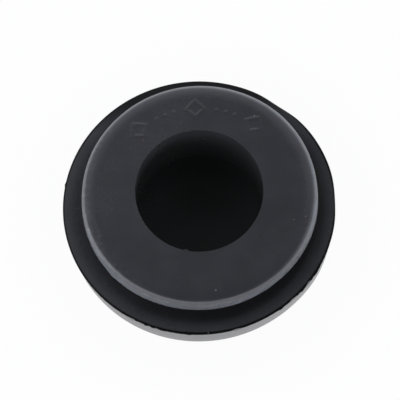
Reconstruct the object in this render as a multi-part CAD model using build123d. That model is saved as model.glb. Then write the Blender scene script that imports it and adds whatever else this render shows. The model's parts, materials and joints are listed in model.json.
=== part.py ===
from build123d import *
from math import radians, tan
import os

# Blind rubber grommet for a round panel hole, moulded in one piece.
#
# It stands on its wide lower flange, the base, with the origin at the centre of the underside
# and +Z up the bore. Above the base a slot takes the edge of the panel, and above that comes
# the smaller upper flange, the collar, which is pushed through the hole. The floor of the bore
# is closed, and is pierced when a cable goes through. All lengths are in millimetres.

# Driving dimensions
panel_hole_d = 16.0  # hole in the panel, and the neck at the bottom of the slot
panel_slot_w = 1.5  # thickness of the panel that the slot takes
base_d = 23.4  # lower flange across its sharp top edge
base_t = 3.0
base_draft = 8.0  # degrees that the rim of the base leans in towards its foot
collar_d = 20.4  # upper flange across its sharp bottom edge
collar_t = 1.4
collar_taper = 8.0  # degrees that the rim of the collar leans in, to lead it through the hole
bore_d = 11.0
floor_t = 0.8  # closed floor of the bore

# Radii of the moulded edges
base_foot_round = 0.5
collar_edge_round = 0.35
bore_mouth_round = 0.15


def grommet_section() -> Sketch:
    """Half section of the moulding, from the axis of the bore out to the rims.

    Each corner is its radius from the axis, its height, and the radius that rounds it. The
    edges that grip the panel stay sharp, and so does the top edge of the base, where the
    mould parts.
    """
    base_r = base_d / 2
    foot_r = base_r - base_t * tan(radians(base_draft))
    neck_r = panel_hole_d / 2
    collar_r = collar_d / 2
    collar_top_r = collar_r - collar_t * tan(radians(collar_taper))
    bore_r = bore_d / 2
    slot_top = base_t + panel_slot_w
    collar_top = slot_top + collar_t

    corners = [
        (0, 0, 0),
        (foot_r, 0, base_foot_round),
        (base_r, base_t, 0),
        (neck_r, base_t, 0),
        (neck_r, slot_top, 0),
        (collar_r, slot_top, 0),
        (collar_top_r, collar_top, collar_edge_round),
        (bore_r, collar_top, bore_mouth_round),
        (bore_r, floor_t, 0),
        (0, floor_t, 0),
    ]
    with BuildSketch(Plane.XZ) as section:
        with BuildLine():
            FilletPolyline(
                [(radius, level) for radius, level, rounding in corners],
                radius=[rounding for radius, level, rounding in corners],
                close=True,
            )
        make_face()
    return section.sketch


grommet_body = revolve(grommet_section(), Axis.Z)

os.makedirs("parts", exist_ok=True)
export_step(grommet_body, "parts/grommet_body.step")
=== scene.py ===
"""Black rubber blind grommet on a pale floor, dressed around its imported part.

The grommet is one moulding, so one surface replaces its node: the moulded section carried
round the axis, with the raised marks, the ragged trim and the slack of soft rubber worked
into its grid. The base is its lower flange and the collar its upper one. Lengths are in
metres; the sizes of the moulding are millimetres times MM.
"""

from __future__ import annotations

import json
import logging
from dataclasses import dataclass
from enum import Enum
from math import cos, pi, radians, sin, sqrt, tan

import bpy
import numpy as np
from mathutils import Matrix, Vector

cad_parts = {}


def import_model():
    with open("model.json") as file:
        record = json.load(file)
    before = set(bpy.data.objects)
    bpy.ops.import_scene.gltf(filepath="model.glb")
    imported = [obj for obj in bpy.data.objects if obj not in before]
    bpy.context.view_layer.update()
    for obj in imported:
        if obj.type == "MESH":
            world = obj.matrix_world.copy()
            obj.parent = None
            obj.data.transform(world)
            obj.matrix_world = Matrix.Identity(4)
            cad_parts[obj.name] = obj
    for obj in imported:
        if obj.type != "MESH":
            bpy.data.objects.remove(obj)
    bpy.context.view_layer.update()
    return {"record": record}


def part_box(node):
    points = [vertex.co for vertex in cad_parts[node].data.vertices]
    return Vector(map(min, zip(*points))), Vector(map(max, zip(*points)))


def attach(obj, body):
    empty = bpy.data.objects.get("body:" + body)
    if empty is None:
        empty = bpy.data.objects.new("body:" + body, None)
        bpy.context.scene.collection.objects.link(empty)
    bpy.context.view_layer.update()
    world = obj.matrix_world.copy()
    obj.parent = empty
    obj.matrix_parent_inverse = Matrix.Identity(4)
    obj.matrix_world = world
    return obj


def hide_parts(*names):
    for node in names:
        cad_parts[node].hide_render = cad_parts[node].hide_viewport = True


MM = 0.001
NODE = "grommet_body"
BODY = "root"
LOG = logging.getLogger("grommet")
SAME_LEVEL = 0.001 * MM
RING_HOLD = 0.04 * MM
TURN_SAMPLES = 7201

Array = np.ndarray
Triple = tuple[float, float, float]
Colour = Triple
Socket = bpy.types.NodeSocket
Input = float | Triple | Socket

WHITE: Colour = (1.0, 1.0, 1.0)


def smooth_step(low: float, high: float, value: Array) -> Array:
    """Cubic step: 0 at low, 1 at high, and 3t^2 - 2t^3 of the share t in between."""
    share = np.clip((value - low) / (high - low), 0.0, 1.0)
    return share * share * (3.0 - 2.0 * share)


def angle_from(angles: Array, direction: float) -> Array:
    """Signed turn, from -pi to pi, from a direction in degrees to angles in radians."""
    return (angles - radians(direction) + pi) % (2.0 * pi) - pi


@dataclass(frozen=True)
class Sector:
    """A sector round the axis, with a smooth fade at each side.

    Attributes:
        direction: Direction of its middle in degrees, from +X towards +Y.
        half: Half its width in degrees, without the fades.
        fade: Width of each fade in degrees.
    """

    direction: float
    half: float
    fade: float

    def weight(self, angles: Array) -> Array:
        """Weight at each angle: 1 in the sector, 0 outside it, and a smooth step between."""
        turn = np.abs(angle_from(angles, self.direction))
        return smooth_step(radians(self.half + self.fade), radians(self.half), turn)


@dataclass(frozen=True)
class Ripple:
    """A random ripple that closes on itself: a sum of cosines of whole waves round the axis.

    Attributes:
        fewest: Fewest waves in one turn.
        most: Most waves in one turn.
        seed: Seed of the random phases and strengths.
    """

    fewest: int
    most: int
    seed: int

    def strength(self, angles: Array) -> Array:
        """Sum of s cos(n angle + p) over the numbers n of waves, with random s and p.

        Args:
            angles: Angles round the axis, in radians.

        Returns:
            The ripple at each angle, with a standard deviation of 1.
        """
        rng = np.random.default_rng(self.seed)
        number = np.arange(self.fewest, self.most + 1.0)[:, None]
        phase = rng.uniform(0.0, 2.0 * pi, number.shape)
        strength = rng.normal(0.0, 1.0, number.shape)
        ripple = (strength * np.cos(number * angles[None, :] + phase)).sum(axis=0)
        return ripple / float(ripple.std())


@dataclass(frozen=True)
class Corner:
    """A corner of the moulded section, and the straight run that leads to it.

    Attributes:
        radius: Distance from the axis.
        level: Height above the underside.
        size: How far behind the corner its curve joins the next run. 0 keeps it sharp.
        steps: Number of chords in the curve.
        pitch: Greatest spacing of the rings on the run that ends here.
        lead: How far before the corner its curve begins, as a share of its size.
        crisp: Whether the shading breaks at this corner.
    """

    radius: float
    level: float
    size: float = 0.0
    steps: int = 4
    pitch: float = 0.3 * MM
    lead: float = 1.0
    crisp: bool = False


def corner_curve(before: Array, corner: Corner, after: Array) -> Array:
    """Points of a corner, sharp or rounded.

    A rounded corner is a quarter of an ellipse that leaves one run and joins the other
    without a kink: corner + size (lead a (1 - sin t) + b (1 - cos t)) for t from 0 to a right
    angle, where a and b are the unit directions to the two neighbours.

    Args:
        before: The previous corner's point.
        corner: The corner itself.
        after: The next corner's point.

    Returns:
        An array of points, radius and level, in order along the section.
    """
    here = np.array([corner.radius, corner.level])
    if corner.size == 0.0:
        return here[None, :]
    a = (before - here) / np.linalg.norm(before - here) * corner.size * corner.lead
    b = (after - here) / np.linalg.norm(after - here) * corner.size
    turn = np.linspace(0.0, 0.5 * pi, corner.steps + 1)[:, None]
    return here + a * (1.0 - np.sin(turn)) + b * (1.0 - np.cos(turn))


def run_rings(start: Array, end: Array, pitch: float) -> Array:
    """Even rings along a straight run, and one more close to each end, to hold the shading.

    Args:
        start: Point where the run begins, which the previous corner holds already.
        end: Point where the run ends.
        pitch: Greatest spacing of the rings.

    Returns:
        The rings behind the start, as radius and level: start + t (end - start).
    """
    length = float(np.linalg.norm(end - start))
    count = max(int(np.ceil(length / pitch)), 1)
    hold = min(RING_HOLD / length, 0.25 / count)
    share = np.unique(np.concatenate([np.linspace(0.0, 1.0, count + 1), [hold, 1.0 - hold]]))
    return start + (end - start) * share[1:, None]


def section_path(corners: list[Corner]) -> tuple[Array, Array]:
    """Rings of the section: the runs between the corners and the curves at the corners.

    Args:
        corners: The corners in order along the section.

    Returns:
        The rings, as radius and level, and for each ring whether the shading breaks there.
    """
    points = np.array([[corner.radius, corner.level] for corner in corners])
    pieces = [points[:1]]
    for index, corner in enumerate(corners[1:], start=1):
        after = points[min(index + 1, len(corners) - 1)]
        curve = corner_curve(points[index - 1], corner, after)
        run = run_rings(pieces[-1][-1], curve[0], corner.pitch)
        pieces.append(np.concatenate([run, curve[1:]]))
    crisp = [np.arange(len(piece)) == len(piece) - 1 for piece in pieces]
    crisp = [last & corner.crisp for last, corner in zip(crisp, corners)]
    return np.concatenate(pieces), np.concatenate(crisp)


def revolved_mesh(name: str, grid: Array, crisp: Array) -> bpy.types.Object:
    """Closed mesh of a grid of rings whose first and last ring have shrunk to a pole.

    Args:
        name: Name of the new object.
        grid: Points as rings by columns by 3. Columns close on themselves.
        crisp: For each ring, whether the shading breaks there.

    Returns:
        The new object, at the origin, with smooth faces that point outward.
    """
    rings, columns, _ = grid.shape
    points = np.concatenate([grid[:1, 0], grid[1:-1].reshape(-1, 3), grid[-1:, 0]])
    index = 1 + np.arange((rings - 2) * columns).reshape(rings - 2, columns)
    turned = np.roll(index, -1, axis=1)
    quads = np.stack([index[:-1], turned[:-1], turned[1:], index[1:]], axis=-1).reshape(-1, 4)
    last = np.full(columns, len(points) - 1)
    foot = np.stack([np.zeros(columns, int), turned[0], index[0]], axis=-1)
    head = np.stack([index[-1], turned[-1], last], axis=-1)
    mesh = bpy.data.meshes.new(name)
    mesh.from_pydata(points.tolist(), [], quads.tolist() + foot.tolist() + head.tolist())
    mesh.shade_smooth()
    ends = np.empty(2 * len(mesh.edges), np.int32)
    mesh.edges.foreach_get("vertices", ends)
    ring = (ends.reshape(-1, 2) + columns - 1) // columns
    breaks = (ring[:, 0] == ring[:, 1]) & crisp[ring[:, 0]]
    mesh.attributes.new("sharp_edge", "BOOLEAN", "EDGE").data.foreach_set("value", breaks)
    made = bpy.data.objects.new(name, mesh)
    bpy.context.scene.collection.objects.link(made)
    return made


class MarkShape(Enum):
    """The plain raised marks on the face. None of them is a letter or a number."""

    DIAMOND = "diamond"
    PIPS = "pips"


@dataclass(frozen=True)
class FaceMarks:
    """Generic moulded marks on an arc across the back of the face.

    Attributes:
        middle_radius: Distance of the arc from the axis.
        row: The marks and their directions in degrees, from +X towards +Y.
        size: Half the height of a diamond.
        stroke: Half the width of a raised line at its foot.
        relief: Height of the marks above the face.
        pip_gap: Distance between neighbouring pips.
    """

    middle_radius: float = 7.75 * MM
    row: tuple[tuple[MarkShape, float], ...] = (
        (MarkShape.DIAMOND, 128.0),
        (MarkShape.PIPS, 108.5),
        (MarkShape.DIAMOND, 89.0),
        (MarkShape.PIPS, 69.5),
        (MarkShape.DIAMOND, 50.0),
    )
    size: float = 0.75 * MM
    stroke: float = 0.27 * MM
    relief: float = 0.034 * MM
    pip_gap: float = 0.8 * MM

    def span(self) -> float:
        """Radial distance from the arc that the tallest mark reaches."""
        return self.size + sqrt(2.0) * self.stroke

    def line_distance(self, shape: MarkShape, along: Array, across: Array) -> Array:
        """Distance from each point to a mark's drawn line.

        A diamond is the line on which |along| + |across| is its size, and pips are three
        points of the arc.

        Args:
            shape: The kind of mark.
            along: Distance from the mark's middle along the arc.
            across: Distance from the arc, away from the axis.

        Returns:
            The distances to the nearest point of the line.
        """
        if shape is MarkShape.DIAMOND:
            return np.abs(np.abs(along) + np.abs(across) - self.size) / sqrt(2.0)
        nearest = np.clip(np.round(along / self.pip_gap), -1.0, 1.0) * self.pip_gap
        return np.hypot(along - nearest, across)

    def heights(self, radius: Array, angles: Array) -> Array:
        """Height of the marks: relief (1 + cos(pi d / stroke)) / 2 at distance d from the line.

        Args:
            radius: Distances of the points from the axis.
            angles: Directions of the points, in radians.

        Returns:
            The heights above the face, 0 where there is no mark.
        """
        height = np.zeros(np.broadcast_shapes(radius.shape, angles.shape))
        for shape, direction in self.row:
            along = -angle_from(angles, direction) * self.middle_radius
            across = radius - self.middle_radius
            away = np.clip(self.line_distance(shape, along, across) / self.stroke, 0.0, 1.0)
            height = np.maximum(height, self.relief * 0.5 * (1.0 + np.cos(pi * away)))
        return height


@dataclass(frozen=True)
class Fault:
    """A place where an edge of the soft moulding stands out or falls short.

    Attributes:
        direction: Direction of the fault in degrees, from +X towards +Y.
        width: Half width in degrees.
        out: How far the edge stands out there, in millimetres. Negative is a dent.
    """

    direction: float
    width: float
    out: float


Faults = tuple[Fault, ...]


def faults_round(faults: Faults, angles: Array) -> Array:
    """Sum of the faults of an edge, each a bell: out * exp(-(turn / width)^2).

    Args:
        faults: The faults of the edge.
        angles: Angles round the axis, in radians.

    Returns:
        How far the edge stands out at each angle.
    """
    total = np.zeros(len(angles))
    for fault in faults:
        turn = angle_from(angles, fault.direction) / radians(fault.width)
        total += fault.out * MM * np.exp(-(turn**2))
    return total


@dataclass(frozen=True)
class Slack:
    """How the soft moulding departs from a true turned shape.

    Attributes:
        collar_shift: Offset of the collar from the base's axis, in x and y.
        mouth_shift: Further offset of the bore's mouth, in x and y.
        mouth_oval: Half of the difference between the mouth's half axes along y and x.
        mouth_reach: Width of the face over which the mouth's departure dies away.
        collar: Bends of the collar's bottom edge.
        shoulder: Bends of the collar's top edge.
        worn: Wear of the collar's top edge, as a change of height.
        worn_reach: Width of the wear.
        rim: Bends of the base's rim, over its whole height.
        dents: Dents of the base's top edge, which die away towards its foot.
        flash: Chips and steps of the flash along the parting edge.
        lip: Flash left on the collar's bottom edge.
        flash_reach: Distance over which the flash of either edge dies away.
        trim: Standard deviation of the parting edge's ragged trim, before its bouts.
        trim_lip: Share of the ragged trim on the collar's bottom edge.
        ragged: Where the trim is ragged.
        ragged_ripple: The ragged line itself.
        bouts: Ripple by which the raggedness comes and goes.
        bout_range: Strengths of that ripple at which a bout begins and is full.
        mouth: Nicks and burrs of the bore's mouth. A positive one leans into the bore.
        burr_reach: Distance over which they die away.
        burr_lift: How far a burr stands up, as a share of how far it leans in.
    """

    collar_shift: tuple[float, float] = (0.1 * MM, 0.0)
    mouth_shift: tuple[float, float] = (0.0, 0.2 * MM)
    mouth_oval: float = 0.07 * MM
    mouth_reach: float = 1.3 * MM
    collar: Faults = (
        Fault(45.0, 18.0, 0.06),
        Fault(225.0, 20.0, 0.04),
        Fault(300.0, 13.0, -0.05),
        Fault(318.0, 20.0, -0.08),
        Fault(6.0, 24.0, -0.11),
        Fault(172.0, 30.0, -0.1),
    )
    shoulder: Faults = (
        Fault(212.0, 24.0, 0.1),
        Fault(330.0, 22.0, 0.12),
        Fault(8.0, 28.0, -0.05),
        Fault(90.0, 20.0, 0.02),
        Fault(136.0, 16.0, -0.04),
        Fault(172.0, 24.0, -0.07),
    )
    worn: Faults = (
        Fault(214.0, 18.0, -0.14),
        Fault(242.0, 18.0, -0.13),
        Fault(284.0, 24.0, -0.1),
        Fault(325.0, 18.0, -0.14),
    )
    worn_reach: float = 0.42 * MM
    rim: Faults = (
        Fault(328.0, 14.0, 0.1),
        Fault(180.0, 45.0, -0.06),
        Fault(260.0, 45.0, 0.04),
    )
    dents: Faults = (
        Fault(50.0, 8.0, -0.16),
        Fault(62.0, 22.0, -0.08),
        Fault(358.0, 9.0, -0.09),
        Fault(334.0, 12.0, -0.1),
    )
    flash: Faults = (
        Fault(319.0, 1.4, -0.09),
        Fault(309.0, 1.1, -0.07),
        Fault(302.5, 1.0, 0.07),
        Fault(282.0, 1.6, -0.07),
        Fault(262.0, 1.0, 0.05),
        Fault(238.0, 2.0, -0.06),
        Fault(166.3, 0.5, 0.07),
    )
    lip: Faults = (
        Fault(219.5, 1.5, 0.06),
        Fault(214.0, 3.0, -0.05),
        Fault(199.0, 1.0, -0.05),
        Fault(301.0, 2.5, 0.04),
    )
    flash_reach: float = 0.15 * MM
    trim: float = 0.03 * MM
    trim_lip: float = 0.4
    ragged: Sector = Sector(275.0, 62.0, 25.0)
    ragged_ripple: Ripple = Ripple(fewest=20, most=169, seed=3)
    bouts: Ripple = Ripple(fewest=3, most=16, seed=5)
    bout_range: tuple[float, float] = (-0.3, 1.6)
    mouth: Faults = (
        Fault(255.2, 1.6, 0.1),
        Fault(96.0, 2.0, 0.03),
    )
    burr_reach: float = 0.2 * MM
    burr_lift: float = 0.6

    def trimming(self, angles: Array) -> Array:
        """Ragged trim of the parting edge: trim * sector * bouts * ripple at each angle."""
        bouts = smooth_step(*self.bout_range, self.bouts.strength(angles))
        return self.trim * self.ragged.weight(angles) * bouts * self.ragged_ripple.strength(angles)


@dataclass
class GrommetBody:
    """The whole moulding as one surface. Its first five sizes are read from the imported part.

    Attributes:
        base_radius: Base, out to its parting edge.
        height: Overall height.
        bore_radius: Wall of the bore.
        neck_radius: Bottom of the groove.
        groove_width: Gap between the flanges.
        base_thickness: From the underside to the parting edge.
        base_draft: Lean of the base's rim towards its foot.
        collar_radius: Collar, out to its bottom edge.
        collar_taper: Lean of the collar's rim towards its top edge.
        floor_thickness: Closed floor of the bore.
        foot_round: Size of the rounded edge that the grommet stands on.
        parting_round: Size of the parting edge, which is all but sharp.
        groove_round: Size of the fillets at the bottom of the groove.
        lip_round: Size of the collar's bottom edge.
        dome_width: How far from the collar's rim the face begins to fall.
        dome_slope: Slope of the face where it reaches the rim.
        edge_round: Size of the rounded edge between the face and the rim.
        mark_pitch: Spacing of the rings across the marks.
        plain_pitch: Greatest spacing on the parts that show.
        hidden_pitch: Greatest spacing on flat parts that hardly show.
        columns: Number of columns round the axis.
        crowded: Sectors with closer columns, and how many times closer they stand, less one.
        marks: The raised marks on the face.
        slack: How the soft moulding departs from a true turned shape.
    """

    base_radius: float
    height: float
    bore_radius: float
    neck_radius: float
    groove_width: float
    base_thickness: float = 3.0 * MM
    base_draft: float = radians(8.0)
    collar_radius: float = 10.14 * MM
    collar_taper: float = radians(5.6)
    floor_thickness: float = 0.8 * MM
    foot_round: float = 0.5 * MM
    parting_round: float = 0.04 * MM
    groove_round: float = 0.2 * MM
    lip_round: float = 0.12 * MM
    dome_width: float = 1.1 * MM
    dome_slope: float = radians(11.0)
    edge_round: float = 0.27 * MM
    mark_pitch: float = 0.055 * MM
    plain_pitch: float = 0.25 * MM
    hidden_pitch: float = 0.9 * MM
    columns: int = 512
    crowded: tuple[tuple[Sector, float], ...] = (
        (Sector(89.0, 45.0, 6.0), 2.6),
        (Sector(275.0, 55.0, 20.0), 1.2),
    )
    marks: FaceMarks = FaceMarks()
    slack: Slack = Slack()

    @property
    def groove_top(self) -> float:
        """Height of the groove's upper side."""
        return self.base_thickness + self.groove_width

    def corners(self) -> list[Corner]:
        """Corners of the section, from the underside's centre round to the floor's centre."""
        base, top = self.base_thickness, self.height
        plain, hidden = self.plain_pitch, self.hidden_pitch
        foot = self.base_radius - base * tan(self.base_draft)
        rim_top = self.collar_radius - (top - self.groove_top) * tan(self.collar_taper)
        inner_mark = self.marks.middle_radius - self.marks.span()
        outer_mark = self.marks.middle_radius + self.marks.span()
        bend = 0.5 * self.dome_width
        fall = bend * tan(self.dome_slope)
        return [
            Corner(0.0, 0.0),
            Corner(foot, 0.0, self.foot_round, 8, hidden),
            Corner(self.base_radius, base, self.parting_round, 3, plain),
            Corner(self.neck_radius, base, self.groove_round, 4, plain),
            Corner(self.neck_radius, self.groove_top, self.groove_round, 4, plain),
            Corner(self.collar_radius, self.groove_top, self.lip_round, 3, hidden),
            Corner(rim_top, top - fall, self.edge_round, 10, plain),
            Corner(rim_top - bend, top, bend, 10, plain, lead=0.5),
            Corner(outer_mark, top, pitch=plain),
            Corner(inner_mark, top, pitch=self.mark_pitch),
            Corner(self.bore_radius, top, pitch=plain, crisp=True),
            Corner(self.bore_radius, self.floor_thickness, pitch=plain, crisp=True),
            Corner(0.0, self.floor_thickness, pitch=hidden),
        ]

    def column_angles(self) -> Array:
        """Directions of the columns, closer together at the marks and at the ragged front.

        The density round the axis is 1 + the sum of each crowded sector's weight times its
        gain, and each column takes an equal share of the running total of that density.
        """
        fine = np.linspace(0.0, 2.0 * pi, TURN_SAMPLES)
        density = 1.0 + sum(gain * sector.weight(fine) for sector, gain in self.crowded)
        total = np.concatenate([[0.0], np.cumsum(0.5 * (density[1:] + density[:-1]))])
        shares = np.arange(self.columns) / self.columns * total[-1]
        return np.interp(shares, total, fine)

    def near_edge(self, section: Array, radius: float, level: float, reach: float) -> Array:
        """Weight of each ring by its distance d from an edge of the section: exp(-(d / reach)^2)."""
        away = np.hypot(section[:, 0] - radius, section[:, 1] - level)
        return np.exp(-((away / reach) ** 2))[:, None]

    def broad_bends(self, section: Array, in_bore: Array, angles: Array) -> Array:
        """Change of radius by the broad bends of the two flanges.

        Each is a change at each angle times, for each ring, a smooth step from the neck out to
        the rim, and another by height where only one edge bends.

        Args:
            section: The rings, as radius and level.
            in_bore: For each ring, whether it lies inside the bore.
            angles: Directions of the columns, in radians.

        Returns:
            The changes as rings by columns.
        """
        across, height = section[:, :1], section[:, 1:]
        on_base = (height <= self.base_thickness) & ~in_bore
        rim = on_base * smooth_step(self.neck_radius, self.base_radius, across)
        rim_top = rim * smooth_step(0.0, self.base_thickness, height)
        collar = smooth_step(self.neck_radius, self.collar_radius, across)
        collar = collar * (height >= self.groove_top)
        lower = smooth_step(self.height, self.groove_top, height)
        bends = lower * faults_round(self.slack.collar, angles)
        bends = bends + (1.0 - lower) * faults_round(self.slack.shoulder, angles)
        dents = rim_top * faults_round(self.slack.dents, angles)
        return rim * faults_round(self.slack.rim, angles) + collar * bends + dents

    def edge_faults(self, section: Array, angles: Array) -> tuple[Array, Array]:
        """Changes by the flash, trim, wear and burrs, each weighted by how near its edge is.

        Args:
            section: The rings, as radius and level.
            angles: Directions of the columns, in radians.

        Returns:
            The changes of radius and of height, as rings by columns.
        """
        slack = self.slack
        parting = self.near_edge(section, self.base_radius, self.base_thickness, slack.flash_reach)
        lip = self.near_edge(section, self.collar_radius, self.groove_top, slack.flash_reach)
        mouth = self.near_edge(section, self.bore_radius, self.height, slack.burr_reach)
        worn = self.near_edge(section, self.collar_radius, self.height, slack.worn_reach)
        trimming = slack.trimming(angles)
        burrs = mouth * faults_round(slack.mouth, angles)
        outward = parting * (faults_round(slack.flash, angles) + trimming)
        outward = outward + lip * (faults_round(slack.lip, angles) + slack.trim_lip * trimming)
        upward = slack.burr_lift * burrs + worn * faults_round(slack.worn, angles)
        return outward - burrs, upward

    def grid(self, section: Array) -> Array:
        """The surface as rings by columns: (r cos t, r sin t, z), bent by the slack of the rubber.

        The collar is offset as a whole, and the mouth slips further and turns oval by
        mouth_oval * cos 2t. Both die away smoothly along the section.

        Args:
            section: The rings, as radius and level.

        Returns:
            The points as rings by columns by 3.
        """
        angles = self.column_angles()
        slack = self.slack
        across, height = section[:, :1], section[:, 1:]
        in_bore = (across <= self.bore_radius) & (height >= self.floor_thickness)
        on_face = np.isclose(height, self.height, rtol=0.0, atol=SAME_LEVEL)
        outward, upward = self.edge_faults(section, angles)
        radius = across + self.broad_bends(section, in_bore, angles) + outward
        level = height + on_face * self.marks.heights(across, angles[None, :]) + upward

        wall = in_bore * smooth_step(self.floor_thickness, self.height, height)
        face = on_face * smooth_step(self.bore_radius + slack.mouth_reach, self.bore_radius, across)
        slip = np.maximum(wall, face)
        radius = radius - slip * slack.mouth_oval * np.cos(2.0 * angles)
        lift = smooth_step(self.base_thickness, self.groove_top, height)
        x = radius * np.cos(angles) + lift * slack.collar_shift[0] + slip * slack.mouth_shift[0]
        y = radius * np.sin(angles) + lift * slack.collar_shift[1] + slip * slack.mouth_shift[1]
        return np.stack([x, y, level], axis=-1)

    def build(self) -> bpy.types.Object:
        """Makes the grommet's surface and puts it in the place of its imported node."""
        section, crisp = section_path(self.corners())
        made = revolved_mesh("moulded_grommet", self.grid(section), crisp)
        made.data.materials.append(BlackRubber().material())
        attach(made, BODY)
        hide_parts(NODE)
        return made


@dataclass(frozen=True)
class Ramp:
    """A smooth change of a number, from one value to another over a stretch.

    Attributes:
        low: Where the change begins. It may lie past high, for a change that runs the other way.
        high: Where the change ends.
        start: Value at low and before it.
        end: Value at high and past it.
    """

    low: float
    high: float
    start: float = 0.0
    end: float = 1.0


@dataclass(frozen=True)
class Mottle:
    """A noise pattern, about 0.5 in the mean.

    Attributes:
        scale: Size of the pattern, as features a unit.
        detail: Number of finer patterns laid over the first.
        ramp: Ramp that turns the pattern into a mask, where it has one.
    """

    scale: float
    detail: float
    ramp: Ramp | None = None


class NodeSheet:
    """Adds nodes to a node tree, one call a node."""

    def __init__(self, tree: bpy.types.NodeTree) -> None:
        """Starts on an emptied tree."""
        self.tree = tree
        tree.nodes.clear()

    def add(
        self, kind: str, inputs: dict[int | str, Input] | None = None, **settings: object
    ) -> bpy.types.Node:
        """Adds one node.

        Args:
            kind: Blender's name of the node, without its ShaderNode.
            inputs: What each input holds: a number, a colour, or another node's output.
            settings: Other properties of the node.

        Returns:
            The new node.
        """
        node = self.tree.nodes.new("ShaderNode" + kind)
        for name, value in settings.items():
            setattr(node, name, value)
        for key, value in (inputs or {}).items():
            if isinstance(value, Socket):
                self.tree.links.new(value, node.inputs[key])
            elif isinstance(value, tuple) and len(node.inputs[key].default_value) == 4:
                node.inputs[key].default_value = (*value, 1.0)
            else:
                node.inputs[key].default_value = value
        return node

    def math(self, operation: str, *values: Input) -> Socket:
        """Adds a Math node and returns its output."""
        return self.add("Math", dict(enumerate(values)), operation=operation).outputs[0]

    def product(self, *values: Input) -> Socket:
        """Multiplies two or more numbers, in order, and returns the product."""
        total = values[0]
        for value in values[1:]:
            total = self.math("MULTIPLY", total, value)
        return total

    def vector(self, operation: str, *values: Input, output: str = "Vector") -> Socket:
        """Adds a Vector Math node and returns its vector, or its number where output is Value."""
        return self.add("VectorMath", dict(enumerate(values)), operation=operation).outputs[output]

    def split(self, vector: Input) -> tuple[Socket, ...]:
        """Adds a node that separates a vector and returns its x, y and z."""
        return tuple(self.add("SeparateXYZ", {0: vector}).outputs)

    def ramp(self, value: Input, ramp: Ramp) -> Socket:
        """Adds a Map Range node for a smooth ramp of a value and returns its output."""
        limits = {"From Min": ramp.low, "From Max": ramp.high, "To Min": ramp.start, "To Max": ramp.end}
        return self.add("MapRange", {"Value": value} | limits, interpolation_type="SMOOTHSTEP").outputs[0]

    def mottle(self, where: Input, mottle: Mottle) -> Socket:
        """Adds a noise pattern, with its ramp where it has one.

        Args:
            where: The point that the pattern is read at.
            mottle: The pattern.

        Returns:
            The pattern's output.
        """
        inputs = {"Vector": where, "Scale": mottle.scale, "Detail": mottle.detail}
        noise = self.add("TexNoise", inputs).outputs["Fac"]
        return self.ramp(noise, mottle.ramp) if mottle.ramp else noise

    def blend(self, share: Input, first: Input, second: Input) -> Socket:
        """Adds a colour mix from the first to the second colour and returns it."""
        inputs = {"Factor": share, 6: first, 7: second}
        return self.add("Mix", inputs, data_type="RGBA").outputs[2]


@dataclass(frozen=True)
class SurfacePoint:
    """Where the shaded point of the grommet lies, in millimetres, as outputs of a sheet's nodes.

    Attributes:
        sheet: The sheet that holds the nodes.
        place: The point as x, y and z. Its height is z, above the underside.
        level: The point as x and y, with a z of 0. Its radius is this one's length.
    """

    sheet: NodeSheet
    place: Socket
    level: Socket
    x: Socket
    y: Socket
    height: Socket
    radius: Socket

    @classmethod
    def on(cls, sheet: NodeSheet) -> SurfacePoint:
        """Adds the nodes that read the point from the object's coordinates.

        Args:
            sheet: The sheet that takes them.

        Returns:
            The point.
        """
        place = sheet.vector("MULTIPLY", sheet.add("TexCoord").outputs["Object"], (1.0 / MM,) * 3)
        level = sheet.vector("MULTIPLY", place, (1.0, 1.0, 0.0))
        x, y, height = sheet.split(place)
        return cls(sheet, place, level, x, y, height, sheet.vector("LENGTH", level, output="Value"))


@dataclass(frozen=True)
class Band:
    """A band round the grommet: one ramp by radius times another by height."""

    radius: Ramp
    height: Ramp

    def mask(self, at: SurfacePoint) -> Socket:
        """Mask of the band."""
        ramp = at.sheet.ramp
        return at.sheet.product(ramp(at.radius, self.radius), ramp(at.height, self.height))


@dataclass(frozen=True)
class PaintedShadeInBore:
    """Painted shade inside the bore, blackest in a patch low at its back.

    Attributes:
        bore: Where shade is painted, from just under the bore's mouth down to its floor.
        floor: Mask by height, which leaves the underside out.
        middle: Middle of the blackest painted shade.
        patch: Mask by distance from that middle.
    """

    bore: Band = Band(Ramp(5.9, 5.75), Ramp(5.9, 3.2))
    floor: Ramp = Ramp(0.3, 0.6)
    middle: Triple = (0.8, 2.6, 0.8)
    patch: Ramp = Ramp(4.6, 1.0, 0.0, 0.6)

    def inside(self, at: SurfacePoint) -> Socket:
        """Mask of the painted shade in the bore."""
        return at.sheet.product(self.bore.mask(at), at.sheet.ramp(at.height, self.floor))

    def blackest(self, at: SurfacePoint, inside: Socket) -> Socket:
        """Mask of the blackest painted shade, within the mask of the bore."""
        away = at.sheet.vector("DISTANCE", at.place, self.middle, output="Value")
        return at.sheet.product(inside, at.sheet.ramp(away, self.patch))


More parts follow.
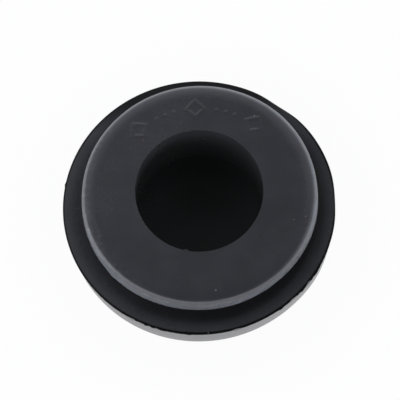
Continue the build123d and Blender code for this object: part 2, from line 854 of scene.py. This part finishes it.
@dataclass(frozen=True)
class BloomAndPaintedLight:
    """Grey bloom, cloudy, with painted light in it: lighter on the lit side, at the face's edge and round
    the base.

    Attributes:
        toward: Direction of the lit side, where light is painted, times a rate a millimetre.
        turn: Mask of that side, by the distance that way.
        cloud: Broad clouds of bloom.
        side: How much light is painted on the lit side.
        edge: The edge of the face, where a highlight is painted.
        edge_back: Strength of that painted highlight, from front to back.
        hem: The outer part of the base's top, painted lighter away from the collar's shade.
        hem_gain: How much light is painted there.
        hem_side: How much more light is painted there on the lit side.
        fine: Fine grain of the bloom.
        fine_gain: Strength of that grain, from its thinnest to its thickest.
    """

    toward: Triple = (-0.068, 0.046, 0.0)
    turn: Ramp = Ramp(-0.75, 0.75)
    cloud: Mottle = Mottle(0.42, 3.0, Ramp(0.25, 0.75, 0.0, 0.12))
    side: float = 0.13
    edge: Band = Band(Ramp(8.6, 10.0), Ramp(4.6, 5.6))
    edge_back: Ramp = Ramp(-6.5, 1.0, 0.0, 0.56)
    hem: Band = Band(Ramp(10.2, 11.5), Ramp(3.3, 3.1))
    hem_gain: float = 0.12
    hem_side: float = 0.16
    fine: Mottle = Mottle(3.2, 3.0)
    fine_gain: float = 0.12

    def lit_side(self, at: SurfacePoint) -> Socket:
        """Share from 0 on the front right to 1 on the back left, the lit side, where light is painted."""
        aside = at.sheet.vector("DOT_PRODUCT", at.place, self.toward, output="Value")
        return at.sheet.ramp(aside, self.turn)

    def mask(self, at: SurfacePoint) -> Socket:
        """Mask of the bloom and of the painted light.

        Args:
            at: The shaded point.

        Returns:
            The mask.
        """
        sheet = at.sheet
        lit_side = self.lit_side(at)
        # Bloom in clouds, lighter on the lit side: painted light.
        bloom_and_light_share = sheet.math("MULTIPLY_ADD", lit_side, self.side, sheet.mottle(at.place, self.cloud))
        # The base's outer top, lighter away from the collar and on the lit side: painted light.
        hem = sheet.math("MULTIPLY_ADD", lit_side, self.hem_side, self.hem_gain)
        bloom_and_light_share = sheet.math("MULTIPLY_ADD", self.hem.mask(at), hem, bloom_and_light_share)
        # The face's edge, lighter towards the back: a painted highlight.
        bloom_and_light_share = sheet.math("MULTIPLY_ADD", self.edge.mask(at), sheet.ramp(at.y, self.edge_back), bloom_and_light_share)
        fine = sheet.mottle(at.place, self.fine)
        fine = sheet.math("MULTIPLY_ADD", fine, self.fine_gain, -0.5 * self.fine_gain)
        return sheet.math("ADD", bloom_and_light_share, fine)


@dataclass(frozen=True)
class PaintedShadeOnBase:
    """Painted shade on the base's top, darkest behind the collar and in a line along its parting edge,
    and weaker under and beside the collar.

    Attributes:
        behind: Mask by y of the painted shade behind the collar.
        near: Mask by radius of the painted shade under and beside the collar.
        near_share: Strength of that shade on the side away from the light.
        near_fall: How much weaker it is on the lit side.
        parting: Mask by radius of the painted dark line along the parting edge.
        top: Mask by height of the base's top.
    """

    behind: Ramp = Ramp(7.0, 10.4, 0.0, 0.9)
    near: Ramp = Ramp(10.2, 11.4, 1.0, 0.0)
    near_share: float = 0.62
    near_fall: float = 0.4
    parting: Ramp = Ramp(11.45, 11.56)
    top: Ramp = Ramp(3.4, 3.1)

    def mask(self, at: SurfacePoint) -> Socket:
        """Mask of the painted shade.

        Args:
            at: The shaded point.

        Returns:
            The mask.
        """
        sheet = at.sheet
        share = sheet.math("MULTIPLY_ADD", BloomAndPaintedLight().lit_side(at), -self.near_fall, self.near_share)
        # Painted shade under and beside the collar, weaker on the lit side.
        near = sheet.product(sheet.ramp(at.radius, self.near), share)
        # Painted shade behind the collar, and a painted dark line along the parting edge.
        behind, parting = sheet.ramp(at.y, self.behind), sheet.ramp(at.radius, self.parting)
        painted_dark = sheet.math("MAXIMUM", sheet.math("MAXIMUM", behind, parting), near)
        return sheet.product(sheet.ramp(at.height, self.top), painted_dark)


@dataclass(frozen=True)
class ScuffAndPaintedLight:
    """Scuff on the collar in streaks round it, with painted light on its rim and a painted highlight over
    the top edge behind.

    Attributes:
        top_edge: Mask by radius of the top edge, where a highlight is painted.
        top_back: Strength of that painted highlight, from front to back.
        rim: The rim, painted lighter from its top edge down.
        middle: How far left of the axis the least light is painted on the rim.
        rim_sides: Strength on the rim, from that middle out to the sides.
        bottom: Mask by height that ends it at the rim's bottom edge.
        streak_round: Units of the noise that one radian of the rim spans.
        streak_up: Units of the noise that one millimetre of height spans.
        streaks: The streaks themselves.
    """

    top_edge: Ramp = Ramp(9.58, 10.04)
    top_back: Ramp = Ramp(-9.0, -2.0, 0.14, 0.75)
    rim: Band = Band(Ramp(9.85, 10.0), Ramp(5.85, 5.15))
    middle: float = 1.0
    rim_sides: Ramp = Ramp(0.0, 9.5, 0.5, 1.0)
    bottom: Ramp = Ramp(4.5, 4.8)
    streak_round: float = 6.0
    streak_up: float = 1.3
    streaks: Mottle = Mottle(2.0, 4.0, Ramp(0.3, 0.7, 0.78, 1.18))

    def streaked(self, at: SurfacePoint) -> Socket:
        """Streaks that run round the rim: noise at streak_round (x, y) / r + (0, 0, streak_up z).

        Args:
            at: The shaded point.

        Returns:
            The strength of the streaks.
        """
        outward = at.sheet.vector("NORMALIZE", at.level)
        round_rim = at.sheet.vector("MULTIPLY", outward, (self.streak_round,) * 3)
        up_rim = at.sheet.vector("MULTIPLY", at.place, (0.0, 0.0, self.streak_up))
        return at.sheet.mottle(at.sheet.vector("ADD", round_rim, up_rim), self.streaks)

    def mask(self, at: SurfacePoint) -> Socket:
        """Mask of the scuff and its painted light.

        Args:
            at: The shaded point.

        Returns:
            The mask.
        """
        sheet = at.sheet
        # Painted highlight on the top edge, strongest at the back.
        upper = sheet.product(sheet.ramp(at.radius, self.top_edge), sheet.ramp(at.y, self.top_back))
        # Painted light on the rim, weakest a little left of the front.
        aside = sheet.math("ABSOLUTE", sheet.math("ADD", at.x, self.middle))
        lower = sheet.product(self.rim.mask(at), sheet.ramp(aside, self.rim_sides))
        both = sheet.math("MAXIMUM", upper, lower)
        return sheet.product(both, sheet.ramp(at.height, self.bottom), self.streaked(at))


@dataclass(frozen=True)
class DustAndPaintedReflection:
    """Mottled dust on the base's rim, up to its parting edge, with a painted reflection of the floor."""

    rim: Band = Band(Ramp(11.2, 11.35), Ramp(2.98, 2.9, 0.0, 0.36))
    spots: Mottle = Mottle(1.3, 4.0, Ramp(0.3, 0.7, 0.72, 1.28))

    def mask(self, at: SurfacePoint) -> Socket:
        """Mask of the dust and its painted reflection."""
        return at.sheet.product(self.rim.mask(at), at.sheet.mottle(at.place, self.spots))


@dataclass(frozen=True)
class FrostAndPaintedGlint:
    """Mottled frost beside the collar's edge, on its left, with its strength by x, and a painted
    highlight there on the lit side.
    """

    edge: Band = Band(Ramp(8.7, 9.7), Ramp(5.2, 5.6))
    left: Ramp = Ramp(-5.0, -8.5, 0.0, 0.2)
    spots: Mottle = Mottle(2.6, 5.0, Ramp(0.42, 0.75))

    def mask(self, at: SurfacePoint) -> Socket:
        """Mask of the frost and its painted highlight."""
        left, spots = at.sheet.ramp(at.x, self.left), at.sheet.mottle(at.place, self.spots)
        return at.sheet.product(self.edge.mask(at), left, spots)


@dataclass(frozen=True)
class Flecks:
    """Loose flecks, which gather near the face's edge: most pale and a few brownish.

    Attributes:
        scale: Cells a millimetre. Each cell may hold one fleck.
        largest: Radius of the largest fleck, as a share of a cell.
        outside: Mask by radius, which keeps them out of the bore.
        crowding: Share of the cells that hold a pale fleck, by radius.
        brown_from: A cell holds a brownish fleck where its random number is over this.
        pale_cover: How well a pale fleck covers the rubber.
        brown_cover: How well a brownish one does.
    """

    scale: float = 1.15
    largest: float = 0.11
    outside: Ramp = Ramp(5.6, 5.9)
    crowding: Ramp = Ramp(7.4, 9.8, 0.03, 0.3)
    brown_from: float = 0.985
    pale_cover: float = 0.5
    brown_cover: float = 0.7

    def masks(self, at: SurfacePoint) -> tuple[Socket, Socket]:
        """Masks of the pale and of the brownish flecks, from the random numbers of their cells.

        Args:
            at: The shaded point.

        Returns:
            The two masks.
        """
        sheet = at.sheet
        cells = sheet.add("TexVoronoi", {"Vector": at.place, "Scale": self.scale})
        chance, size, _ = sheet.split(cells.outputs["Color"])
        reach = sheet.product(size, self.largest)
        spot = sheet.math("LESS_THAN", cells.outputs["Distance"], reach)
        spot = sheet.product(spot, sheet.ramp(at.radius, self.outside))
        pale = sheet.math("LESS_THAN", chance, sheet.ramp(at.radius, self.crowding))
        brown = sheet.math("GREATER_THAN", chance, self.brown_from)
        return sheet.product(spot, pale, self.pale_cover), sheet.product(spot, brown, self.brown_cover)


@dataclass(frozen=True)
class BlackRubber:
    """Moulded black rubber under a faint grey bloom, with scuffs where its edges rub, and painted light
    and shade in its colour.

    Attributes:
        deep: Clean rubber.
        bloom_and_painted_light: Rubber under the full bloom, and the colour of the painted light too.
        bore: Painted shade inside the bore.
        black: The darkest colour, for painted shade: on the bore's floor, on the base's top by the
            collar, and along the parting edge.
        scuff_and_painted_light: Scuffs on the collar, and the colour of the painted light on its rim and
            top edge.
        dust_and_painted_reflection: Dust on the base's rim, and the colour of its painted reflection.
        fleck_and_glint: Pale flecks, and frost with a painted highlight.
        stain: Brownish flecks.
        roughness: Roughness of clean rubber.
        matting: What the full mask of bloom and painted light adds to the roughness.
        scuff_matting: What the scuff and dust masks add, painted light included, as a share of what bloom
            adds.
        ior: Index of refraction.
        grain: Fine grain of the surface.
        grain_height: Height of that grain.
    """

    deep: Colour = (0.0275, 0.0283, 0.0315)
    # Grey of the bloom and of the painted light.
    bloom_and_painted_light: Colour = (0.072, 0.073, 0.079)
    # Painted shade in the bore.
    bore: Colour = (0.0118, 0.0138, 0.0128)
    # Darkest colour, for painted shade.
    black: Colour = (0.0008, 0.001, 0.0008)
    # Scuffs, and painted light on the collar.
    scuff_and_painted_light: Colour = (0.155, 0.168, 0.182)
    # Dust, and a painted reflection of the floor.
    dust_and_painted_reflection: Colour = (0.17, 0.167, 0.2)
    # Pale flecks, and a painted highlight with the frost.
    fleck_and_glint: Colour = (0.24, 0.25, 0.27)
    stain: Colour = (0.12, 0.075, 0.05)
    roughness: float = 0.24
    matting: float = 0.16
    scuff_matting: float = 0.4
    ior: float = 1.6
    grain: Mottle = Mottle(9.0, 3.0)
    grain_height: float = 0.0025 * MM

    def material(self) -> bpy.types.Material:
        """Builds the node material from the surface's place in millimetres."""
        made = bpy.data.materials.new("black_rubber")
        made.use_nodes = True
        sheet = NodeSheet(made.node_tree)
        at = SurfacePoint.on(sheet)
        # Bloom, with painted light on the lit side, the face's edge and the base's outer top.
        bloom_and_light = BloomAndPaintedLight().mask(at)
        # Scuffs, with painted light on the collar's rim and top edge.
        scuff_and_light = ScuffAndPaintedLight().mask(at)
        # Dust, with a painted reflection of the floor on the base's rim.
        dust_and_reflection = DustAndPaintedReflection().mask(at)
        # Painted shade inside the bore.
        inside = PaintedShadeInBore().inside(at)
        pale, brown = Flecks().masks(at)

        layers = (
            (bloom_and_light, self.bloom_and_painted_light),
            # Painted shade on the base's top.
            (PaintedShadeOnBase().mask(at), self.black),
            (scuff_and_light, self.scuff_and_painted_light),
            (dust_and_reflection, self.dust_and_painted_reflection),
            # Frost, with a painted highlight on the face's lit left edge.
            (FrostAndPaintedGlint().mask(at), self.fleck_and_glint),
            (pale, self.fleck_and_glint),
            (brown, self.stain),
            # Painted shade in the bore, blackest in a patch low at its back.
            (inside, self.bore),
            (PaintedShadeInBore().blackest(at, inside), self.black),
        )
        colour: Input = self.deep
        for share, layer in layers:
            colour = sheet.blend(share, colour, layer)

        rubbed = sheet.product(sheet.math("ADD", scuff_and_light, dust_and_reflection), self.scuff_matting)
        matt = sheet.math("ADD", bloom_and_light, rubbed)
        grain = sheet.mottle(at.place, self.grain)
        bump = sheet.add("Bump", {"Strength": 1.0, "Distance": self.grain_height, "Height": grain})
        shader = {
            "Base Color": colour,
            "Roughness": sheet.math("MULTIPLY_ADD", matt, self.matting, self.roughness),
            "IOR": self.ior,
            "Normal": bump.outputs[0],
        }
        sheet.add("OutputMaterial", {"Surface": sheet.add("BsdfPrincipled", shader).outputs[0]})
        return made


@dataclass(frozen=True)
class StudioSweep:
    """White floor between bright sides, and dark overhead, where the camera looks in.

    Attributes:
        floor_half: Half the floor's width.
        floor_gap: Distance of the floor below the underside.
        floor_colour: Colour of the floor, a grey.
        floor_share: Part of its own white in what the camera sees of the floor.
        side_light: Strength of the surround, between the dark and the horizon.
        horizon_light: Strength at the horizon.
        horizon: Heights on the unit sphere between which the light rises to side_light.
        dark_light: Strength overhead.
        dark_half: Half the width and half the length of the dark, on the unit disc.
        dark_core: Share of those at which the light begins to rise to side_light.
        key: Direction from which the surround is brightest.
        key_gain: Strength there, over that on the opposite side.
        tint: Colour of the light.
    """

    floor_half: float = 3.0
    floor_gap: float = 0.01 * MM
    floor_colour: float = 0.92
    floor_share: float = 0.94
    side_light: float = 2.0
    horizon_light: float = 1.4
    horizon: tuple[float, float] = (0.05, 0.42)
    dark_light: float = 0.05
    dark_half: tuple[float, float] = (0.84, 0.92)
    dark_core: float = 0.63
    key: Triple = (-0.8, 0.6, 0.0)
    key_gain: float = 1.3
    tint: Colour = (0.98, 0.985, 1.06)

    def world(self) -> None:
        """World whose light falls towards the zenith and away from the key's side."""
        world = bpy.data.worlds.new("studio")
        bpy.context.scene.world = world
        world.use_nodes = True
        sheet = NodeSheet(world.node_tree)
        where = sheet.add("TexCoord").outputs["Generated"]
        across = (1.0 / self.dark_half[0], 1.0 / self.dark_half[1], 0.0)
        away = sheet.vector("LENGTH", sheet.vector("MULTIPLY", where, across), output="Value")
        fall = sheet.ramp(away, Ramp(self.dark_core, 1.0, self.dark_light, self.side_light))
        _, _, height = sheet.split(where)
        rise = sheet.ramp(height, Ramp(*self.horizon, self.horizon_light / self.side_light, 1.0))
        facing = sheet.vector("DOT_PRODUCT", where, self.key, output="Value")
        weak = 2.0 / (1.0 + self.key_gain)
        side = sheet.ramp(facing, Ramp(-1.0, 1.0, weak, weak * self.key_gain))
        light = sheet.add("Background", {"Color": self.tint, "Strength": sheet.product(fall, rise, side)})
        white = sheet.add("Background", {"Color": WHITE})
        seen = sheet.add("LightPath").outputs["Is Camera Ray"]
        mix = sheet.add("MixShader", {0: seen, 1: light.outputs[0], 2: white.outputs[0]})
        sheet.add("OutputWorld", {"Surface": mix.outputs[0]})

    def floor_material(self) -> bpy.types.Material:
        """White floor that keeps the grommet's shadow, and is plain white in gloss."""
        made = bpy.data.materials.new("floor")
        made.use_nodes = True
        sheet = NodeSheet(made.node_tree)
        path = sheet.add("LightPath")
        direct = sheet.product(path.outputs["Is Camera Ray"], self.floor_share)
        share = sheet.math("MAXIMUM", direct, path.outputs["Is Glossy Ray"])
        matt = sheet.add("BsdfDiffuse", {"Color": (self.floor_colour,) * 3})
        white = sheet.add("Emission", {"Color": WHITE, "Strength": 1.0})
        mix = sheet.add("MixShader", {0: share, 1: matt.outputs[0], 2: white.outputs[0]})
        sheet.add("OutputMaterial", {"Surface": mix.outputs[0]})
        return made

    def floor(self) -> bpy.types.Object:
        """Flat floor a hair below the underside, so that the two faces don't coincide."""
        half, level = self.floor_half, -self.floor_gap
        corners = [(-half, -half, level), (half, -half, level), (half, half, level), (-half, half, level)]
        mesh = bpy.data.meshes.new("floor")
        mesh.from_pydata(corners, [], [(0, 1, 2, 3)])
        mesh.materials.append(self.floor_material())
        made = bpy.data.objects.new("floor", mesh)
        bpy.context.scene.collection.objects.link(made)
        return made


@dataclass(frozen=True)
class PhotoCamera:
    """The photograph's camera: high over the front of the grommet, far off, and a little rolled.

    Attributes:
        elevation: Angle of the line of sight with the floor.
        roll: Turn of the camera about its line of sight.
        distance: From the centre of the face, along the line of sight.
        lens_ratio: Focal length over the width of the sensor.
        shift_right: How far the face's centre lies right of the line of sight.
        shift_up: How far it lies above that line.
        nearest: Nearest distance that the camera sees.
    """

    elevation: float = radians(67.39)
    roll: float = radians(-3.92)
    distance: float = 300.0 * MM
    lens_ratio: float = 8.8725
    shift_right: float = -0.111 * MM
    shift_up: float = 0.625 * MM
    nearest: float = 10.0 * MM

    def place(self, face_height: float) -> bpy.types.Object:
        """Creates the camera and makes it the scene's.

        Args:
            face_height: Height of the grommet's face above the floor.

        Returns:
            The camera.
        """
        forward = Vector((0.0, cos(self.elevation), -sin(self.elevation)))
        upward = Vector((0.0, sin(self.elevation), cos(self.elevation)))
        sideways = Vector((1.0, 0.0, 0.0))
        face = Vector((0.0, 0.0, face_height))
        place = face - self.distance * forward - self.shift_up * upward - self.shift_right * sideways
        right = cos(self.roll) * sideways + sin(self.roll) * upward
        above = -sin(self.roll) * sideways + cos(self.roll) * upward
        data = bpy.data.cameras.new("photo_camera")
        data.lens = self.lens_ratio * data.sensor_width
        data.clip_start = self.nearest
        camera = bpy.data.objects.new("photo_camera", data)
        bpy.context.scene.collection.objects.link(camera)
        turned = Matrix((right, above, -forward)).transposed().to_4x4()
        camera.matrix_world = Matrix.Translation(place) @ turned
        bpy.context.scene.camera = camera
        return camera


def packed_body(record: dict) -> GrommetBody:
    """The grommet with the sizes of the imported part.

    Args:
        record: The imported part's record, whose mounts give the bore and the groove.

    Returns:
        The grommet's body, not yet built.
    """
    low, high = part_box(NODE)
    mounts = {mount["name"]: mount["dims"] for mount in record["mounts"]}
    return GrommetBody(
        base_radius=0.5 * (high.x - low.x),
        height=high.z - low.z,
        bore_radius=mounts["bore"]["r_mm"] * MM,
        neck_radius=mounts["panel_groove"]["r_mm"] * MM,
        groove_width=mounts["panel_groove"]["length_mm"] * MM,
    )


def main() -> None:
    """Builds the grommet, its stage and its camera."""
    logging.basicConfig(level=logging.INFO, format="%(name)s: %(message)s")
    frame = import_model()
    body = packed_body(frame["record"])
    made = body.build()
    LOG.info("%s: %d faces", made.name, len(made.data.polygons))
    sweep = StudioSweep()
    sweep.world()
    LOG.info("%s", sweep.floor().name)
    LOG.info("%s", PhotoCamera().place(body.height).name)
    bpy.context.scene.view_settings.view_transform = "Standard"


if __name__ == "__main__":
    main()
